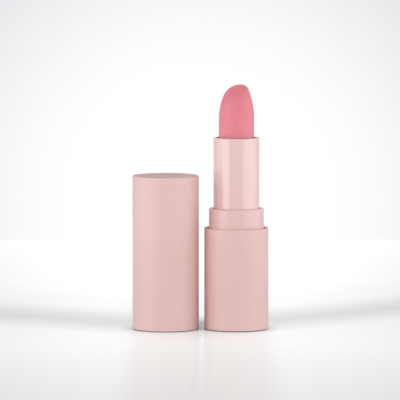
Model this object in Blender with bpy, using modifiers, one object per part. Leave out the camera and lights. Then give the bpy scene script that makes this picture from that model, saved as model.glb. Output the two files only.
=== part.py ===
"""A twist-up lipstick that stands with its cap off and beside it.

The wax bullet sits in a carrier cup. Two lugs on the cup reach through straight slots in an inner tube,
which is fixed in the base, and into helical slots in a cam sleeve, which is fixed in the bright outer tube.
Turning the base against the outer tube slides the cup along the straight slots and lifts the bullet.
The collar above the base is what the cap grips. The cap is a metal shell over a moulded liner.

Everything is turned about a vertical axis. The floor is z = 0, and the origin lies on it, in the middle of
the ground that the lipstick and its cap cover together. Sizes are in metres.
"""

import math

import bmesh
import bpy
from mathutils import Matrix

MM = 0.001

# Fits, shared by the pieces that meet
RUNNING_GAP = 0.07 * MM  # radial, between pieces that turn or slide on each other
PRESS_GAP = 0.03 * MM  # radial, between pieces pressed together
SEAT_GAP = 0.10 * MM  # axial, under a piece that sits on another
OVERRUN = 1.0 * MM  # how far a cutter runs past what it cuts
MELD = 0.12 * MM  # how far a joined shape reaches into its wall

# Fineness of the round surfaces
FACETS = 40
FILLET_STEPS = 2
OGIVE_STEPS = 12
MERGE_DISTANCE = 0.005 * MM
SHARP_ANGLE = math.radians(35)

# What shows of the lipstick, from the floor up
BASE_HEIGHT = 33.9 * MM
COLLAR_SHOWS = 6.5 * MM
TUBE_SHOWS = 23.6 * MM

# Bullet
BULLET_RADIUS = 6.05 * MM
SHOULDER_RADIUS = 5.88 * MM
SHANK_LENGTH = 18.1 * MM
SHANK_TAPER = 1.2 * MM  # above the cup's rim, where it narrows to the shoulder's radius
OGIVE_HEIGHT = 13.5 * MM
OGIVE_RISE_POWER = 1.85
OGIVE_ROUND_POWER = 1.56
NOSE_LEAN = 0.75 * MM  # of the uncut tip, towards +X
FACE_HEIGHT = 9.4 * MM  # of the slanted face over the shoulder, on the axis
FACE_SLOPE = math.radians(30.7)
FACE_TURN = math.radians(69)  # which way the face rises, from +X towards +Y
FACE_EDGE_ROUND = 0.5 * MM
FACE_EDGE_ANGLE = math.radians(35)

# Carrier cup
CUP_WALL = 0.36 * MM
CUP_DEPTH = 8.0 * MM
CUP_FLOOR = 1.0 * MM
CUP_RECESS = 3.7 * MM  # of its rim under the outer tube's, as it stands
CUP_HOLE_RADIUS = 2.0 * MM
CUP_RIM_ROUND = 0.12 * MM
CUP_RIBS = 4
CUP_RIB_WIDTH = 0.5 * MM
CUP_RIB_DEPTH = 0.25 * MM
CUP_RIB_LENGTH = 6.0 * MM
LUG_RADIUS = 0.8 * MM
LUG_HEIGHT = 1.2 * MM  # of its centre over the cup's bottom
LUG_TIP_GAP = 0.12 * MM
LUG_FACETS = 20

# Screw motion
LEAD = 16.0 * MM  # travel for a whole turn
HELIX_STEP = math.radians(18)
TRAVEL_UP = 4.0 * MM
SLOT_SIDE_GAP = 0.12 * MM
SLOT_END_GAP = 0.3 * MM

# Slotted tube, with its foot and drag ring
SLOTTED_WALL = 0.36 * MM
SNAP_BEAD = 0.2 * MM
SNAP_BEAD_HEIGHT = 0.9 * MM
SNAP_BEAD_GAP = 0.15 * MM
SLOTTED_TOP_ROUND = 0.1 * MM
SLOTTED_FLOOR = 2.2 * MM
CUP_REST_GAP = 0.4 * MM
FLANGE_LIP = 0.6 * MM
FLANGE_THICKNESS = 0.8 * MM
FOOT_STEP = 0.35 * MM
FOOT_WALL = 1.0 * MM
FOOT_LENGTH = 12.0 * MM
FOOT_ROUND = 0.15 * MM
FOOT_KEYS = 4
FOOT_KEY_WIDTH = 1.2 * MM
FOOT_KEY_DEPTH = 0.4 * MM
RING_WIRE_RADIUS = 0.4 * MM
RING_SQUEEZE_GAP = 0.05 * MM
RING_LAND = 0.6 * MM
RING_CAM_GAP = 0.4 * MM
RING_WIRE_FACETS = 8

# Cam sleeve
CAM_WALL = 0.34 * MM
CAM_LOW_BAND = 1.0 * MM
CAM_TOP_BAND = 1.8 * MM

# Bright outer tube
TUBE_WALL = 0.32 * MM
TUBE_LIP = 0.95 * MM
TUBE_LIP_THICKNESS = 0.5 * MM
TUBE_RIM_ROUND = 0.28 * MM
TUBE_LIP_ROUND = 0.18 * MM
TUBE_FLANGE = 0.5 * MM
TUBE_FLANGE_THICKNESS = 0.4 * MM

# Collar, a drawn sleeve over a moulded core
COLLAR_TUBE_GAP = 0.40 * MM
COLLAR_LIP = 1.15 * MM
COLLAR_LIP_THICKNESS = 0.4 * MM
COLLAR_WALL = 0.35 * MM
COLLAR_RIM_ROUND = 0.3 * MM
COLLAR_DEPTH = 3.2 * MM  # how far it reaches down into the base
COLLAR_FLOAT = 0.2 * MM
CORE_DROP = 0.8 * MM

# Base, a drawn shell over a moulded insert and a steel weight
COLLAR_RUNNING_GAP = 0.12 * MM
INSERT_WALL = 0.52 * MM
INSERT_DROP = 1.0 * MM
INSERT_TOP_ROUND = 0.15 * MM
INSERT_WEB = 1.2 * MM
SKIRT_WALL = 0.9 * MM
SOCKET_WALL = 0.8 * MM
SOCKET_FLOOR = 1.0 * MM
INSERT_RIBS = 6
INSERT_RIB_WIDTH = 0.9 * MM
BASE_WALL = 0.85 * MM
BASE_FLOOR = 1.0 * MM
BASE_RIM_ROUND = 0.22 * MM
BASE_FOOT_ROUND = 0.35 * MM
LABEL_SEAT_MARGIN = 2.2 * MM
LABEL_SEAT_DEPTH = 0.25 * MM
WEIGHT_HEIGHT = 8.0 * MM
WEIGHT_HOLE_RADIUS = 3.0 * MM
WEIGHT_CHAMFER = 0.4 * MM

# Cap, a drawn shell over a moulded liner
CAP_HEIGHT = 51.3 * MM
CAP_COLLAR_GAP = 0.15 * MM
LINER_WALL = 0.8 * MM
LINER_TOP = 0.8 * MM
LINER_MOUTH_DROP = 0.6 * MM
LINER_LEAD_IN = 0.35 * MM
GRIP_RIBS = 8
GRIP_RIB_RADIUS = 0.4 * MM
GRIP_RIB_STANDS = 0.09 * MM
GRIP_RIB_LENGTH = 5.0 * MM
GRIP_RIB_FACETS = 12
CAP_WALL = 0.91 * MM
CAP_TOP = 0.9 * MM
CAP_TOP_ROUND = 0.4 * MM
CAP_MOUTH_ROUND = 0.2 * MM

# How the cap stands beside the lipstick
STANDING_GAP = 1.83 * MM

# Radii, built up from the bullet outwards
cup_bore = BULLET_RADIUS + PRESS_GAP
cup_radius = cup_bore + CUP_WALL
slotted_bore = cup_radius + RUNNING_GAP
slotted_radius = slotted_bore + SLOTTED_WALL
cam_bore = slotted_radius + RUNNING_GAP
cam_radius = cam_bore + CAM_WALL
tube_bore = cam_radius + PRESS_GAP
tube_radius = tube_bore + TUBE_WALL
tube_mouth = tube_radius - TUBE_LIP
core_bore = tube_radius + PRESS_GAP
collar_mouth = tube_radius + COLLAR_TUBE_GAP
collar_radius = collar_mouth + COLLAR_LIP
collar_bore = collar_radius - COLLAR_WALL
core_radius = collar_bore - PRESS_GAP
insert_bore = collar_radius + COLLAR_RUNNING_GAP
insert_radius = insert_bore + INSERT_WALL
base_bore = insert_radius + PRESS_GAP
base_radius = base_bore + BASE_WALL
foot_radius = slotted_radius + FOOT_STEP
key_radius = foot_radius + FOOT_KEY_DEPTH
socket_bore = foot_radius + PRESS_GAP
socket_radius = socket_bore + SOCKET_WALL
skirt_bore = insert_radius - SKIRT_WALL
flange_radius = tube_radius + FLANGE_LIP
liner_bore = collar_radius + CAP_COLLAR_GAP
liner_radius = liner_bore + LINER_WALL
cap_bore = liner_radius + PRESS_GAP
cap_radius = cap_bore + CAP_WALL

# Heights of the lipstick's pieces, from what shows down to what the base hides
collar_top = BASE_HEIGHT + COLLAR_SHOWS
tube_top = collar_top + TUBE_SHOWS
cup_rim = tube_top - CUP_RECESS
cup_bottom = cup_rim - CUP_DEPTH - CUP_FLOOR
lug_rest = cup_bottom + LUG_HEIGHT
lug_high = lug_rest + TRAVEL_UP
collar_bottom = BASE_HEIGHT - COLLAR_DEPTH
flange_top = collar_bottom - COLLAR_FLOAT
flange_bottom = flange_top - FLANGE_THICKNESS
web_top = flange_bottom - SEAT_GAP
web_bottom = web_top - INSERT_WEB
foot_bottom = flange_bottom - FOOT_LENGTH
socket_floor_top = foot_bottom - SEAT_GAP
ring_height = flange_top + RING_LAND + RING_WIRE_RADIUS
cam_bottom = ring_height + RING_WIRE_RADIUS + RING_CAM_GAP
lug_low = cam_bottom + CAM_LOW_BAND + SLOT_END_GAP + LUG_RADIUS
cam_top = lug_high + LUG_RADIUS + SLOT_END_GAP + CAM_TOP_BAND
slotted_floor_top = lug_low - LUG_HEIGHT - CUP_REST_GAP
slotted_top = cam_top + SNAP_BEAD_GAP + SNAP_BEAD_HEIGHT
insert_top = BASE_HEIGHT - INSERT_DROP
weight_bottom = BASE_FLOOR + SEAT_GAP
weight_top = weight_bottom + WEIGHT_HEIGHT

# Where the two axes stand, so that the origin is the middle of the ground they cover
axes_apart = base_radius + cap_radius + STANDING_GAP
lipstick_x = (axes_apart + cap_radius - base_radius) / 2
cap_x = lipstick_x - axes_apart


def clear_scene():
    for obj in list(bpy.data.objects):
        bpy.data.objects.remove(obj, do_unlink=True)


def add_collection(name):
    collection = bpy.data.collections.new(name)
    bpy.context.scene.collection.children.link(collection)
    return collection


def add_axis(name, x):
    """An empty on the floor that carries the pieces turned about it."""
    empty = bpy.data.objects.new(name, None)
    empty.location = (x, 0, 0)
    PARTS.objects.link(empty)
    return empty


def finish(name, color, roughness, metallic):
    material = bpy.data.materials.new(name)
    material.use_nodes = True
    shader = material.node_tree.nodes["Principled BSDF"]
    shader.inputs["Base Color"].default_value = (*color, 1)
    shader.inputs["Roughness"].default_value = roughness
    shader.inputs["Metallic"].default_value = metallic
    return material


def rounded(corners, closed):
    """Outline points from corners (radius, height, fillet): each fillet becomes an arc."""
    points = []
    count = len(corners)
    for index, (x, z, fillet) in enumerate(corners):
        at_end = not closed and index in (0, count - 1)
        if at_end or fillet == 0:
            points.append((x, z))
            continue
        x_before, z_before, _ = corners[index - 1]
        x_after, z_after, _ = corners[(index + 1) % count]
        back = (x_before - x, z_before - z)
        ahead = (x_after - x, z_after - z)
        back_length = math.hypot(*back)
        ahead_length = math.hypot(*ahead)
        back = (back[0] / back_length, back[1] / back_length)
        ahead = (ahead[0] / ahead_length, ahead[1] / ahead_length)
        half_angle = math.acos(back[0] * ahead[0] + back[1] * ahead[1]) / 2
        tangent = min(fillet / math.tan(half_angle), back_length / 2, ahead_length / 2)
        radius = tangent * math.tan(half_angle)
        middle = (back[0] + ahead[0], back[1] + ahead[1])
        reach = radius / math.sin(half_angle) / math.hypot(*middle)
        centre = (x + middle[0] * reach, z + middle[1] * reach)
        first = math.atan2(z + back[1] * tangent - centre[1], x + back[0] * tangent - centre[0])
        last = math.atan2(z + ahead[1] * tangent - centre[1], x + ahead[0] * tangent - centre[0])
        sweep = (last - first + math.pi) % math.tau - math.pi
        for step in range(FILLET_STEPS + 1):
            angle = first + sweep * step / FILLET_STEPS
            points.append((centre[0] + radius * math.cos(angle), centre[1] + radius * math.sin(angle)))
    return points


def add_object(name, mesh, axis, material):
    obj = bpy.data.objects.new(name, mesh)
    PARTS.objects.link(obj)
    obj.parent = axis
    if material:
        mesh.materials.append(material)
    return obj


def add_cutter(name, bm, axis):
    """A helper solid for a Boolean. It is drawn as wire and isn't part of the object."""
    bmesh.ops.recalc_face_normals(bm, faces=bm.faces[:])
    mesh = bpy.data.meshes.new(name)
    bm.to_mesh(mesh)
    bm.free()
    obj = bpy.data.objects.new(name, mesh)
    CUTTERS.objects.link(obj)
    obj.parent = axis
    obj.hide_render = True
    obj.display_type = "WIRE"
    return obj


def turned(name, points, closed, axis, material):
    """A piece turned about its axis from an outline that runs down its outer side."""
    mesh = bpy.data.meshes.new(name)
    edges = [(i, i + 1) for i in range(len(points) - 1)]
    if closed:
        edges.append((len(points) - 1, 0))
    mesh.from_pydata([(x, 0, z) for x, z in points], edges, [])
    obj = add_object(name, mesh, axis, material)
    screw = obj.modifiers.new("turn", "SCREW")
    screw.axis = "Z"
    screw.steps = FACETS
    screw.render_steps = FACETS
    screw.use_merge_vertices = True
    screw.merge_threshold = MERGE_DISTANCE
    return obj


def applied(obj):
    """The mesh that a piece's modifiers make of it."""
    graph = bpy.context.evaluated_depsgraph_get()
    return bpy.data.meshes.new_from_object(obj.evaluated_get(graph))


def combine(obj, other, operation):
    boolean = obj.modifiers.new(other.name, "BOOLEAN")
    boolean.object = other
    boolean.operation = operation
    boolean.solver = "EXACT"


def cut(obj, cutter):
    combine(obj, cutter, "DIFFERENCE")


def join(obj, shape):
    combine(obj, shape, "UNION")


def blocks_around(name, count, inner, outer, width, bottom, top, axis, first_turn):
    """Upright blocks spread evenly round the axis, each reaching from one radius to another."""
    bm = bmesh.new()
    for index in range(count):
        turn = first_turn + math.tau * index / count
        place = (
            Matrix.Rotation(turn, 4, "Z")
            @ Matrix.Translation(((inner + outer) / 2, 0, (bottom + top) / 2))
            @ Matrix.Diagonal((outer - inner, width, top - bottom, 1))
        )
        bmesh.ops.create_cube(bm, size=1, matrix=place)
    return add_cutter(name, bm, axis)


def rods_around(name, count, radius, facets, place_one, length, axis):
    """Round rods spread evenly round the axis. place_one puts the first of them in its place."""
    bm = bmesh.new()
    for index in range(count):
        bmesh.ops.create_cone(
            bm,
            cap_ends=True,
            segments=facets,
            radius1=radius,
            radius2=radius,
            depth=length,
            matrix=Matrix.Rotation(math.tau * index / count, 4, "Z") @ place_one,
        )
    return add_cutter(name, bm, axis)


def helical_bars(name, count, inner, outer, height, low, high, rest, end_turn, axis):
    """Bars wound up the axis with the screw's lead. At the height rest, the first one is at +X."""
    bm = bmesh.new()
    first_turn = (low - rest) / LEAD * math.tau - end_turn
    sweep = (high - low) / LEAD * math.tau + 2 * end_turn
    steps = math.ceil(sweep / HELIX_STEP)
    for index in range(count):
        turn = first_turn + math.tau * index / count
        start = (
            Matrix.Rotation(turn, 4, "Z")
            @ Matrix.Translation(((inner + outer) / 2, 0, rest + first_turn / math.tau * LEAD))
            @ Matrix.Rotation(math.pi / 2, 4, "X")
            @ Matrix.Diagonal((outer - inner, height, 1, 1))
        )
        verts = bmesh.ops.create_grid(bm, x_segments=1, y_segments=1, size=0.5, matrix=start)["verts"]
        face = verts[0].link_faces[0]
        bmesh.ops.spin(
            bm,
            geom=verts + face.edges[:] + [face],
            cent=(0, 0, 0),
            axis=(0, 0, 1),
            dvec=(0, 0, sweep / math.tau * LEAD / steps),
            angle=sweep,
            steps=steps,
        )
    return add_cutter(name, bm, axis)


def lean_nose(bullet, shoulder):
    """Leans the nose towards +X, little at the shoulder and more towards the tip."""
    mesh = applied(bullet)
    bullet.modifiers.clear()
    bullet.data = mesh
    for vertex in mesh.vertices:
        rise_share = max(vertex.co.z - shoulder, 0) / OGIVE_HEIGHT
        vertex.co.x += NOSE_LEAN * rise_share**2


def make_bullet():
    bottom = cup_rim - CUP_DEPTH + SEAT_GAP
    shoulder = bottom + SHANK_LENGTH
    outline = []
    for step in range(OGIVE_STEPS + 1):
        radius_share = math.sin(math.pi / 2 * step / OGIVE_STEPS)
        height_share = (1 - radius_share**OGIVE_ROUND_POWER) ** (1 / OGIVE_RISE_POWER)
        outline.append((SHOULDER_RADIUS * radius_share, shoulder + OGIVE_HEIGHT * height_share))
    outline += [
        (SHOULDER_RADIUS, cup_rim + SHANK_TAPER),
        (BULLET_RADIUS, cup_rim),
        (BULLET_RADIUS, bottom),
        (0, bottom),
    ]
    bullet = turned("bullet", outline, False, lipstick_axis, WAX)
    lean_nose(bullet, shoulder)
    bm = bmesh.new()
    block = 4 * BULLET_RADIUS
    over_the_face = (
        Matrix.Translation((0, 0, shoulder + FACE_HEIGHT))
        @ Matrix.Rotation(FACE_TURN, 4, "Z")
        @ Matrix.Rotation(-FACE_SLOPE, 4, "Y")
        @ Matrix.Translation((0, 0, block / 2))
    )
    bmesh.ops.create_cube(bm, size=block, matrix=over_the_face)
    cut(bullet, add_cutter("over_the_face", bm, lipstick_axis))
    soften = bullet.modifiers.new("soft_edge", "BEVEL")
    soften.width = FACE_EDGE_ROUND
    soften.segments = FILLET_STEPS
    soften.limit_method = "ANGLE"
    soften.angle_limit = FACE_EDGE_ANGLE
    grooves = blocks_around(
        "bullet_grooves",
        CUP_RIBS,
        cup_bore - CUP_RIB_DEPTH - PRESS_GAP,
        cup_bore + OVERRUN,
        CUP_RIB_WIDTH + 2 * PRESS_GAP,
        bottom - OVERRUN,
        bottom + CUP_RIB_LENGTH + PRESS_GAP,
        lipstick_axis,
        math.pi / CUP_RIBS,
    )
    cut(bullet, grooves)


def make_carrier_cup():
    floor_top = cup_rim - CUP_DEPTH
    outline = rounded(
        [
            (cup_bore, cup_rim, CUP_RIM_ROUND),
            (cup_radius, cup_rim, CUP_RIM_ROUND),
            (cup_radius, cup_bottom, CUP_RIM_ROUND),
            (CUP_HOLE_RADIUS, cup_bottom, 0),
            (CUP_HOLE_RADIUS, floor_top, 0),
            (cup_bore, floor_top, 0),
        ],
        True,
    )
    cup = turned("carrier_cup", outline, True, lipstick_axis, CUP_PLASTIC)
    ribs = blocks_around(
        "cup_ribs",
        CUP_RIBS,
        cup_bore - CUP_RIB_DEPTH,
        cup_bore + MELD,
        CUP_RIB_WIDTH,
        floor_top - MELD,
        floor_top + CUP_RIB_LENGTH,
        lipstick_axis,
        math.pi / CUP_RIBS,
    )
    join(cup, ribs)
    lug_root = cup_bore + MELD
    lug_tip = tube_bore - LUG_TIP_GAP
    lug_middle = Matrix.Translation(((lug_root + lug_tip) / 2, 0, lug_rest))
    first_lug = lug_middle @ Matrix.Rotation(math.pi / 2, 4, "Y")
    lugs = rods_around("cup_lugs", 2, LUG_RADIUS, LUG_FACETS, first_lug, lug_tip - lug_root, lipstick_axis)
    join(cup, lugs)


def make_slotted_tube():
    """The inner tube that keeps the cup from turning. Its foot is keyed into the base."""
    groove_floor = tube_bore - RING_SQUEEZE_GAP * 2 - RING_WIRE_RADIUS * 2
    groove_half = RING_WIRE_RADIUS + RING_SQUEEZE_GAP
    floor_bottom = slotted_floor_top - SLOTTED_FLOOR
    bead_bottom = slotted_top - SNAP_BEAD_HEIGHT
    bead_radius = cam_bore + SNAP_BEAD
    outline = rounded(
        [
            (0, slotted_floor_top, 0),
            (slotted_bore, slotted_floor_top, 0),
            (slotted_bore, slotted_top, SLOTTED_TOP_ROUND),
            (slotted_radius, slotted_top, 0),
            (bead_radius, slotted_top - SNAP_BEAD_HEIGHT / 2, SLOTTED_TOP_ROUND),
            (bead_radius, bead_bottom, 0),
            (slotted_radius, bead_bottom, 0),
            (slotted_radius, ring_height + groove_half, 0),
            (groove_floor, ring_height + groove_half, 0),
            (groove_floor, ring_height - groove_half, 0),
            (slotted_radius, ring_height - groove_half, 0),
            (slotted_radius, flange_top, 0),
            (flange_radius, flange_top, 0),
            (flange_radius, flange_bottom, 0),
            (foot_radius, flange_bottom, 0),
            (foot_radius, foot_bottom, FOOT_ROUND),
            (foot_radius - FOOT_WALL, foot_bottom, 0),
            (foot_radius - FOOT_WALL, floor_bottom, 0),
            (0, floor_bottom, 0),
        ],
        False,
    )
    tube = turned("slotted_tube", outline, False, lipstick_axis, MECHANISM_PLASTIC)
    keys = blocks_around(
        "foot_keys",
        FOOT_KEYS,
        foot_radius - MELD,
        key_radius,
        FOOT_KEY_WIDTH,
        foot_bottom + FOOT_KEY_DEPTH,
        flange_bottom + MELD,
        lipstick_axis,
        math.pi / FOOT_KEYS,
    )
    join(tube, keys)
    slots = blocks_around(
        "straight_slots",
        2,
        slotted_bore - OVERRUN,
        slotted_radius + OVERRUN,
        2 * (LUG_RADIUS + SLOT_SIDE_GAP),
        lug_low - LUG_RADIUS - SLOT_END_GAP,
        lug_high + LUG_RADIUS + SLOT_END_GAP,
        lipstick_axis,
        0,
    )
    cut(tube, slots)


def make_drag_ring():
    """The rubber ring that makes the twist smooth and holds the bullet where it is left."""
    centre = tube_bore - RING_SQUEEZE_GAP - RING_WIRE_RADIUS
    outline = [
        (
            centre + RING_WIRE_RADIUS * math.cos(math.tau * step / RING_WIRE_FACETS),
            ring_height - RING_WIRE_RADIUS * math.sin(math.tau * step / RING_WIRE_FACETS),
        )
        for step in range(RING_WIRE_FACETS)
    ]
    turned("drag_ring", outline, True, lipstick_axis, RUBBER)


def make_cam_sleeve():
    """The sleeve whose two helical slots drive the cup's lugs."""
    outline = rounded(
        [
            (cam_bore, cam_top, 0),
            (cam_radius, cam_top, 0),
            (cam_radius, cam_bottom, 0),
            (cam_bore, cam_bottom, 0),
        ],
        True,
    )
    sleeve = turned("cam_sleeve", outline, True, lipstick_axis, MECHANISM_PLASTIC)
    middle_radius = (cam_bore + cam_radius) / 2
    climb = math.atan2(LEAD, math.tau * middle_radius)
    slot_height = 2 * (LUG_RADIUS + SLOT_SIDE_GAP) / math.cos(climb)
    end_turn = (LUG_RADIUS + SLOT_END_GAP) / middle_radius
    slots = helical_bars(
        "helical_slots",
        2,
        cam_bore - OVERRUN,
        cam_radius + OVERRUN,
        slot_height,
        lug_low,
        lug_high,
        lug_rest,
        end_turn,
        lipstick_axis,
    )
    cut(sleeve, slots)


def make_outer_tube():
    """The bright tube, with its rim rolled in over the mechanism and a flange at its foot."""
    outline = rounded(
        [
            (tube_mouth, tube_top, TUBE_LIP_ROUND),
            (tube_radius, tube_top, TUBE_RIM_ROUND),
            (tube_radius, collar_bottom + TUBE_FLANGE_THICKNESS, 0),
            (tube_radius + TUBE_FLANGE, collar_bottom + TUBE_FLANGE_THICKNESS, 0),
            (tube_radius + TUBE_FLANGE, collar_bottom, 0),
            (tube_bore, collar_bottom, 0),
            (tube_bore, tube_top - TUBE_LIP_THICKNESS, 0),
            (tube_mouth, tube_top - TUBE_LIP_THICKNESS, TUBE_LIP_ROUND),
        ],
        True,
    )
    turned("outer_tube", outline, True, lipstick_axis, BRIGHT_PINK)


def make_collar():
    lip_bottom = collar_top - COLLAR_LIP_THICKNESS
    sleeve_outline = rounded(
        [
            (collar_mouth, collar_top, COLLAR_RIM_ROUND),
            (collar_radius, collar_top, COLLAR_RIM_ROUND),
            (collar_radius, collar_bottom, 0),
            (collar_bore, collar_bottom, 0),
            (collar_bore, lip_bottom, 0),
            (collar_mouth, lip_bottom, 0),
        ],
        True,
    )
    turned("collar_sleeve", sleeve_outline, True, lipstick_axis, COLLAR_PINK)
    recess_radius = tube_radius + TUBE_FLANGE + PRESS_GAP
    recess_top = collar_bottom + TUBE_FLANGE_THICKNESS + PRESS_GAP
    core_top = lip_bottom - CORE_DROP
    core_outline = rounded(
        [
            (core_bore, core_top, 0),
            (core_radius, core_top, 0),
            (core_radius, collar_bottom, 0),
            (recess_radius, collar_bottom, 0),
            (recess_radius, recess_top, 0),
            (core_bore, recess_top, 0),
        ],
        True,
    )
    turned("collar_core", core_outline, True, lipstick_axis, MOULDED_PLASTIC)


def make_base_insert():
    """The moulded piece in the base, with a bore for the collar and a keyed socket for the slotted tube."""
    outline = rounded(
        [
            (0, socket_floor_top, 0),
            (socket_bore, socket_floor_top, 0),
            (socket_bore, web_top, 0),
            (insert_bore, web_top, 0),
            (insert_bore, insert_top, INSERT_TOP_ROUND),
            (insert_radius, insert_top, INSERT_TOP_ROUND),
            (insert_radius, weight_bottom, 0),
            (skirt_bore, weight_bottom, 0),
            (skirt_bore, web_bottom, 0),
            (socket_radius, web_bottom, 0),
            (socket_radius, socket_floor_top - SOCKET_FLOOR, 0),
            (0, socket_floor_top - SOCKET_FLOOR, 0),
        ],
        False,
    )
    insert = turned("base_insert", outline, False, lipstick_axis, MOULDED_PLASTIC)
    ribs = blocks_around(
        "insert_ribs",
        INSERT_RIBS,
        socket_radius - MELD,
        skirt_bore + MELD,
        INSERT_RIB_WIDTH,
        weight_top + SEAT_GAP,
        web_bottom + MELD,
        lipstick_axis,
        0,
    )
    join(insert, ribs)
    keyways = blocks_around(
        "socket_keyways",
        FOOT_KEYS,
        foot_radius - OVERRUN,
        key_radius + PRESS_GAP,
        FOOT_KEY_WIDTH + 2 * PRESS_GAP,
        foot_bottom,
        web_top + OVERRUN,
        lipstick_axis,
        math.pi / FOOT_KEYS,
    )
    cut(insert, keyways)


def make_base_weight():
    """The steel ring that gives the base its heft."""
    outline = rounded(
        [
            (WEIGHT_HOLE_RADIUS, weight_top, 0),
            (skirt_bore - PRESS_GAP, weight_top, WEIGHT_CHAMFER),
            (skirt_bore - PRESS_GAP, weight_bottom, WEIGHT_CHAMFER),
            (WEIGHT_HOLE_RADIUS, weight_bottom, 0),
        ],
        True,
    )
    turned("base_weight", outline, True, lipstick_axis, STEEL)


def make_base_shell():
    """The drawn outer shell of the base, with a shallow seat for a label coined in its underside."""
    seat_radius = base_radius - LABEL_SEAT_MARGIN
    outline = rounded(
        [
            (0, BASE_FLOOR, 0),
            (base_bore, BASE_FLOOR, 0),
            (base_bore, BASE_HEIGHT, BASE_RIM_ROUND),
            (base_radius, BASE_HEIGHT, BASE_RIM_ROUND),
            (base_radius, 0, BASE_FOOT_ROUND),
            (seat_radius, 0, 0),
            (seat_radius, LABEL_SEAT_DEPTH, 0),
            (0, LABEL_SEAT_DEPTH, 0),
        ],
        False,
    )
    turned("base_shell", outline, False, lipstick_axis, SATIN_PINK)


def make_cap():
    shell_outline = rounded(
        [
            (0, CAP_HEIGHT, 0),
            (cap_radius, CAP_HEIGHT, CAP_TOP_ROUND),
            (cap_radius, 0, CAP_MOUTH_ROUND),
            (cap_bore, 0, CAP_MOUTH_ROUND),
            (cap_bore, CAP_HEIGHT - CAP_TOP, 0),
            (0, CAP_HEIGHT - CAP_TOP, 0),
        ],
        False,
    )
    turned("cap_shell", shell_outline, False, cap_axis, SATIN_PINK)
    liner_top = CAP_HEIGHT - CAP_TOP - SEAT_GAP
    liner_outline = rounded(
        [
            (0, liner_top, 0),
            (liner_radius, liner_top, LINER_LEAD_IN),
            (liner_radius, LINER_MOUTH_DROP, 0),
            (liner_bore, LINER_MOUTH_DROP, LINER_LEAD_IN),
            (liner_bore, liner_top - LINER_TOP, LINER_LEAD_IN),
            (0, liner_top - LINER_TOP, 0),
        ],
        False,
    )
    liner = turned("cap_liner", liner_outline, False, cap_axis, MOULDED_PLASTIC)
    rib_bottom = LINER_MOUTH_DROP + LINER_LEAD_IN
    rib_centre = liner_bore + GRIP_RIB_RADIUS - GRIP_RIB_STANDS
    first_rib = Matrix.Translation((rib_centre, 0, rib_bottom + GRIP_RIB_LENGTH / 2))
    ribs = rods_around(
        "grip_ribs",
        GRIP_RIBS,
        GRIP_RIB_RADIUS,
        GRIP_RIB_FACETS,
        first_rib,
        GRIP_RIB_LENGTH,
        cap_axis,
    )
    join(liner, ribs)


def settle():
    """Applies every piece's modifiers, and shades its round faces smooth and its corners sharp."""
    pieces = [obj for obj in PARTS.objects if obj.type == "MESH"]
    meshes = [applied(obj) for obj in pieces]
    for obj, mesh in zip(pieces, meshes):
        obj.modifiers.clear()
        obj.data = mesh
        mesh.name = obj.name
        mesh.shade_smooth()
        mesh.set_sharp_from_angle(angle=SHARP_ANGLE)


clear_scene()
PARTS = add_collection("lipstick")
CUTTERS = add_collection("cutters")
CUTTERS.hide_render = True

SATIN_PINK = finish("satin_pink", (0.74, 0.50, 0.48), 0.45, 0.0)
BRIGHT_PINK = finish("bright_pink", (0.86, 0.62, 0.59), 0.15, 0.7)
COLLAR_PINK = finish("collar_pink", (0.80, 0.55, 0.53), 0.22, 0.5)
WAX = finish("wax", (0.78, 0.22, 0.27), 0.5, 0.0)
CUP_PLASTIC = finish("cup_plastic", (0.75, 0.68, 0.66), 0.4, 0.0)
MECHANISM_PLASTIC = finish("mechanism_plastic", (0.80, 0.78, 0.74), 0.4, 0.0)
MOULDED_PLASTIC = finish("moulded_plastic", (0.72, 0.62, 0.60), 0.45, 0.0)
RUBBER = finish("rubber", (0.08, 0.08, 0.08), 0.7, 0.0)
STEEL = finish("steel", (0.55, 0.55, 0.56), 0.35, 1.0)

lipstick_axis = add_axis("lipstick_axis", lipstick_x)
cap_axis = add_axis("cap_axis", cap_x)

make_bullet()
make_carrier_cup()
make_slotted_tube()
make_drag_ring()
make_cam_sleeve()
make_outer_tube()
make_collar()
make_base_insert()
make_base_weight()
make_base_shell()
make_cap()
settle()
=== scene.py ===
"""The looks of a twist-up lipstick that stands open, with its bullet raised and its cap beside it.

The pieces follow in the order in which they are put together: the base, the mechanism, the tube and collar,
the bullet, and the cap. Their lamps, table, backdrop and camera come last. All lengths are in metres.
"""

import math

import bmesh
import bpy
from mathutils import Matrix, Vector


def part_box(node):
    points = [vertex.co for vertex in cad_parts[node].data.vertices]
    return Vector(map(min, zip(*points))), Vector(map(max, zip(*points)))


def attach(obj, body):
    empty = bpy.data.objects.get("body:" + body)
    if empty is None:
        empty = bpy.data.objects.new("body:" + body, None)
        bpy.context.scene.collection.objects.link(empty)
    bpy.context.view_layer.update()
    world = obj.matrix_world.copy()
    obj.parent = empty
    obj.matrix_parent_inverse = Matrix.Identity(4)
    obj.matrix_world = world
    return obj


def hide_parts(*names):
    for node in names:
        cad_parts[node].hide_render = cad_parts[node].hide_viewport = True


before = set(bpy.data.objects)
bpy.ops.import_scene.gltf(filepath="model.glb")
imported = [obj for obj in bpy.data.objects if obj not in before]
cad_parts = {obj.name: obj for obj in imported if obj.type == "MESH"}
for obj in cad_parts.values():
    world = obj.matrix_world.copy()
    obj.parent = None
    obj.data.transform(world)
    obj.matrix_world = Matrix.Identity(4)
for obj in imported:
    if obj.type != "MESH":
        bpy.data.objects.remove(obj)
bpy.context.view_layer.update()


# Base shell
# The satin pink shell at the bottom, drawn from aluminium and sprayed with a soft lacquer. A thin band of
# dark dull metal along the edge that it stands on is painted contact shadow. It is pressed over the base
# insert, and a shallow seat for a label is coined in its underside.
MM = 0.001
ROUND_STEPS = 160
ARC_STEPS = 6
ARC_EDGE_SHARE = 0.45
HOLDING_SHARE = 1.2
WELD_DISTANCE = 0.001 * MM
SHARP_ANGLE = math.radians(32)
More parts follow.
